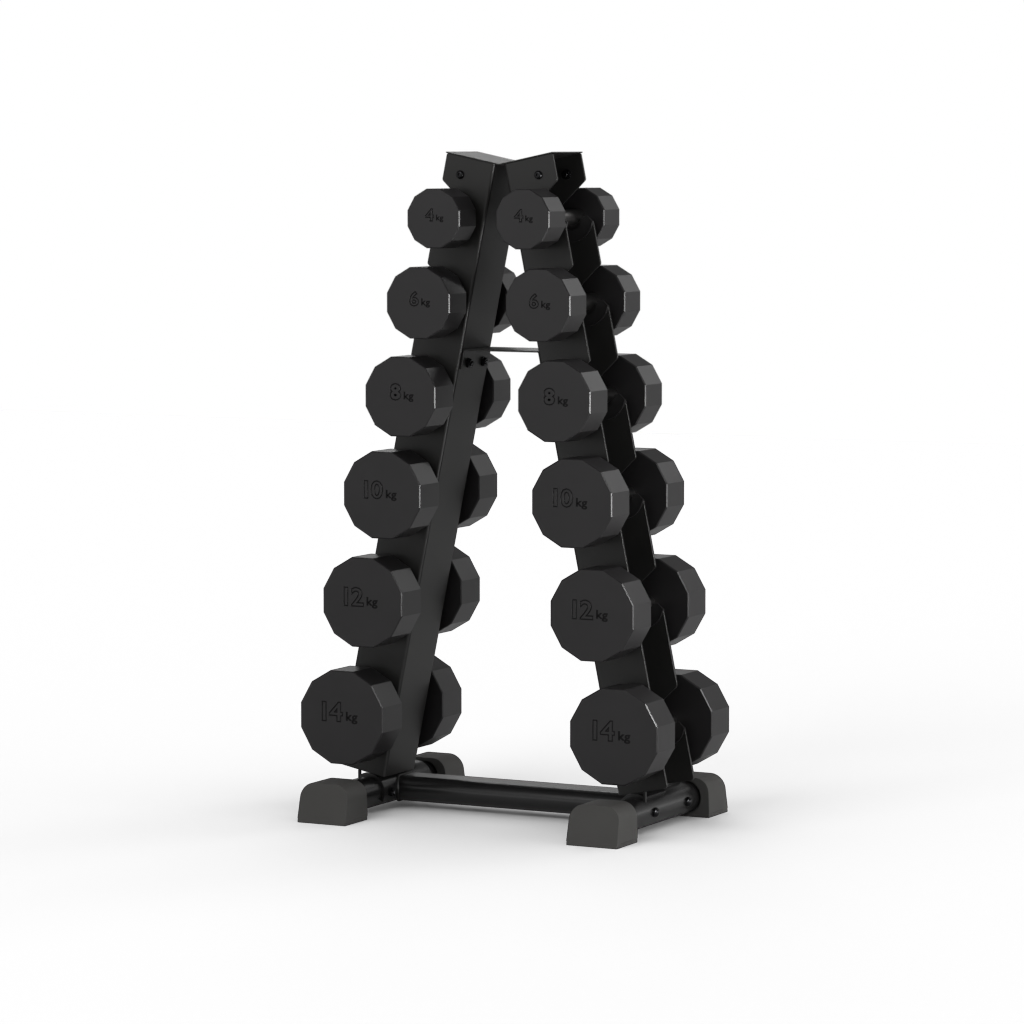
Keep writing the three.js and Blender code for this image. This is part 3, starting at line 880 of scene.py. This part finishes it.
def lettering(words, height, bold, spacing, outlined):
    """A closed shape for cutting words into a face, as fine outlines or solid, centred on the origin."""
    curve = bpy.data.curves.new("lettering", "FONT")
    curve.body = words
    curve.size = height
    curve.resolution_u = 3
    curve.space_character = spacing
    curve.offset = bold * height
    if outlined:
        curve.fill_mode = "NONE"
        curve.bevel_depth = GROOVE
        curve.bevel_resolution = 1
    else:
        curve.extrude = GROOVE
    probe = bpy.data.objects.new("lettering", curve)
    bpy.context.scene.collection.objects.link(probe)
    bpy.context.view_layer.update()
    evaluated = probe.evaluated_get(bpy.context.evaluated_depsgraph_get())
    bm = bmesh.new()
    bm.from_mesh(bpy.data.meshes.new_from_object(evaluated))
    bpy.data.objects.remove(probe)
    bmesh.ops.remove_doubles(bm, verts=bm.verts, dist=1e-6)
    obj = mesh_object("lettering", bm)
    # The cut faces of the figures and letters take this near-black colour: painted shade in the grooves.
    obj.data.materials.append(GROOVE_PAINTED_SHADE)
    points = [v.co for v in obj.data.vertices]
    low = Vector([min(p[i] for p in points) for i in range(3)])
    high = Vector([max(p[i] for p in points) for i in range(3)])
    size = height / (high.y - low.y)
    grow = Matrix.Diagonal((size * LETTER_SPREAD, size, 1, 1))
    place(obj, Matrix.Rotation(math.pi / 2, 4, "X") @ grow @ Matrix.Translation(-(low + high) / 2))
    return obj, (high.x - low.x) * size * LETTER_SPREAD


def engrave(head, kg, across):
    """Cuts the weight in outline figures, with a small kg beside it, into a head's face at y = 0."""
    digits, width = lettering(str(int(kg)), DIGIT_HEIGHT * across, DIGIT_BOLD, DIGIT_SPACING, outlined=True)
    place(digits, Matrix.Translation((DIGIT_RIGHT * across - width / 2, 0, DIGIT_RISE * across)))
    unit, width = lettering("kg", UNIT_HEIGHT * across, UNIT_BOLD, UNIT_SPACING, outlined=False)
    place(unit, Matrix.Translation((UNIT_LEFT * across + width / 2, 0, UNIT_RISE * across)))
    for obj in (digits, unit):
        combine(head, obj, "DIFFERENCE")


def add_dumbbell(kg, side):
    body = f"dumbbell_{kg}kg_{side}"
    handle = f"handle_{kg}kg_{side}"
    low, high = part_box(handle)
    radius = (high[2] - low[2]) / 2
    length = high[1] - low[1] + 2 * FIT
    bar = cylinder_y(f"{handle}_bar", radius, length, centre_of(handle), 64)
    dress(bar, HANDLE_STEEL, body, [handle], bevel=0.0004)
    for end in ENDS:
        node = f"head_{end}_{kg}kg_{side}"
        low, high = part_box(node)
        across = high[2] - low[2]
        obj = mesh_object(f"{node}_rubber", head_mesh(across, high[1] - low[1]))
        obj.data.materials.append(HEAD_RUBBER)
        soften(obj, 0.0002)
        engrave(obj, kg, across)
        centre = centre_of(node)
        face_y = low[1] if end == "front" else high[1]
        turn = Matrix.Rotation(0 if end == "front" else math.pi, 4, "Z")
        place(obj, Matrix.Translation((centre.x, face_y, centre.z)) @ turn)
        dress(obj, None, body, [node], bevel=0, smooth=False)


# ---------------------------------------------------------------- stage, light and camera

def add_area_light(name, location, target, size, power):
    data = bpy.data.lights.new(name, "AREA")
    data.shape = "RECTANGLE"
    data.size, data.size_y = size
    data.energy = power
    light = bpy.data.objects.new(name, data)
    light.location = location
    light.rotation_euler = (Vector(target) - Vector(location)).to_track_quat("-Z", "Y").to_euler()
    bpy.context.scene.collection.objects.link(light)
    return light


def add_world(above, level, below, backdrop):
    """A studio that reads as plain white behind the object, and lights it all round, least from above."""
    world = bpy.data.worlds.new("studio")
    world.use_nodes = True
    tree = world.node_tree
    room = tree.nodes["Background"]
    room.inputs["Strength"].default_value = 1.0
    coordinates = tree.nodes.new("ShaderNodeTexCoord")
    axes = tree.nodes.new("ShaderNodeSeparateXYZ")
    height = tree.nodes.new("ShaderNodeMapRange")
    height.inputs["From Min"].default_value = -1.0
    height.inputs["From Max"].default_value = 1.0
    ramp = tree.nodes.new("ShaderNodeValToRGB")
    ramp.color_ramp.elements[0].color = (below, below, below, 1)
    ramp.color_ramp.elements[1].color = (above, above, above, 1)
    for position, value in ((0.45, level), (0.57, level), (0.68, above * 1.6)):
        ramp.color_ramp.elements.new(position).color = (value, value, value, 1)
    tree.links.new(coordinates.outputs["Generated"], axes.inputs[0])
    tree.links.new(axes.outputs["Z"], height.inputs["Value"])
    tree.links.new(height.outputs["Result"], ramp.inputs["Fac"])
    tree.links.new(ramp.outputs["Color"], room.inputs["Color"])
    white = tree.nodes.new("ShaderNodeBackground")
    white.inputs["Color"].default_value = (1, 1, 1, 1)
    white.inputs["Strength"].default_value = backdrop
    path = tree.nodes.new("ShaderNodeLightPath")
    mix = tree.nodes.new("ShaderNodeMixShader")
    tree.links.new(path.outputs["Is Camera Ray"], mix.inputs[0])
    tree.links.new(room.outputs[0], mix.inputs[1])
    tree.links.new(white.outputs[0], mix.inputs[2])
    tree.links.new(mix.outputs[0], tree.nodes["World Output"].inputs["Surface"])
    bpy.context.scene.world = world


def add_stage():
    bm = bmesh.new()
    bmesh.ops.create_grid(bm, x_segments=1, y_segments=1, size=8)
    floor = mesh_object("floor", bm)
    material, _, shader = node_material("floor_white")
    shader.inputs["Base Color"].default_value = (0.85, 0.85, 0.85, 1)
    shader.inputs["Roughness"].default_value = 0.9
    shader.inputs["Specular IOR Level"].default_value = 0.1
    floor.data.materials.append(material)
    floor.is_shadow_catcher = True
    bpy.context.scene.view_settings.view_transform = "Standard"


def add_lights():
    """Soft light from all round, cards behind that show along the upper facets, softboxes to the front, the
    right and overhead, and a strip close to the right front that shows only as a gleam along bevels."""
    add_world(0.10, 0.54, 0.62, 1.0)
    add_area_light("front", (-0.5, -3.4, 2.5), (0, 0, 0.9), (2.4, 1.6), 31)
    add_area_light("right", (3.0, 0.4, 0.33), (0, 0, 0.3), (2.4, 0.62), 25)
    add_area_light("card", (1.35, 2.6, 2.05), (0.1, 0, 0.9), (1.0, 0.9), 6)
    add_area_light("left_card", (-1.45, 2.6, 1.72), (-0.1, 0, 1.03), (0.9, 0.45), 3)
    add_area_light("low_card", (1.8, 2.4, 0.22), (0.3, 0, 0.2), (0.8, 0.36), 0.6)
    add_area_light("front_card", (-2.1, -4.2, 0.7), (0, 0, 0.5), (3.2, 1.9), 6)
    ceiling = add_area_light("ceiling", (0, 0.2, 3.4), (0, 0.2, 0), (3.6, 3.6), 38)
    ceiling.visible_glossy = False
    gleam = add_area_light("gleam", (1.12, -0.63, 0.66), (0.15, -0.15, 0.62), (0.22, 0.60), 19)
    gleam.visible_diffuse = False


def add_camera():
    azimuth = math.radians(27.25)
    elevation = math.radians(5.03)
    distance = 6.65
    aim = Vector((-0.004, 0.0, 0.4835))
    away = Vector((math.sin(azimuth) * math.cos(elevation), -math.cos(azimuth) * math.cos(elevation),
                   math.sin(elevation)))
    data = bpy.data.cameras.new("camera")
    data.lens = 148.8
    data.sensor_width = 36.0
    data.clip_end = 100
    camera = bpy.data.objects.new("camera", data)
    camera.location = aim + away * distance
    camera.rotation_euler = (-away).to_track_quat("-Z", "Y").to_euler()
    bpy.context.scene.collection.objects.link(camera)
    bpy.context.scene.camera = camera


add_uprights()
add_liners()
add_top_cap()
add_tie_plate()
add_base_tubes()
add_base_saddles()
add_cross_tube()
add_feet()
add_bolts()
for rack_side in SIDES:
    for weight in WEIGHTS:
        add_dumbbell(weight, rack_side)
add_stage()
add_lights()
add_camera()
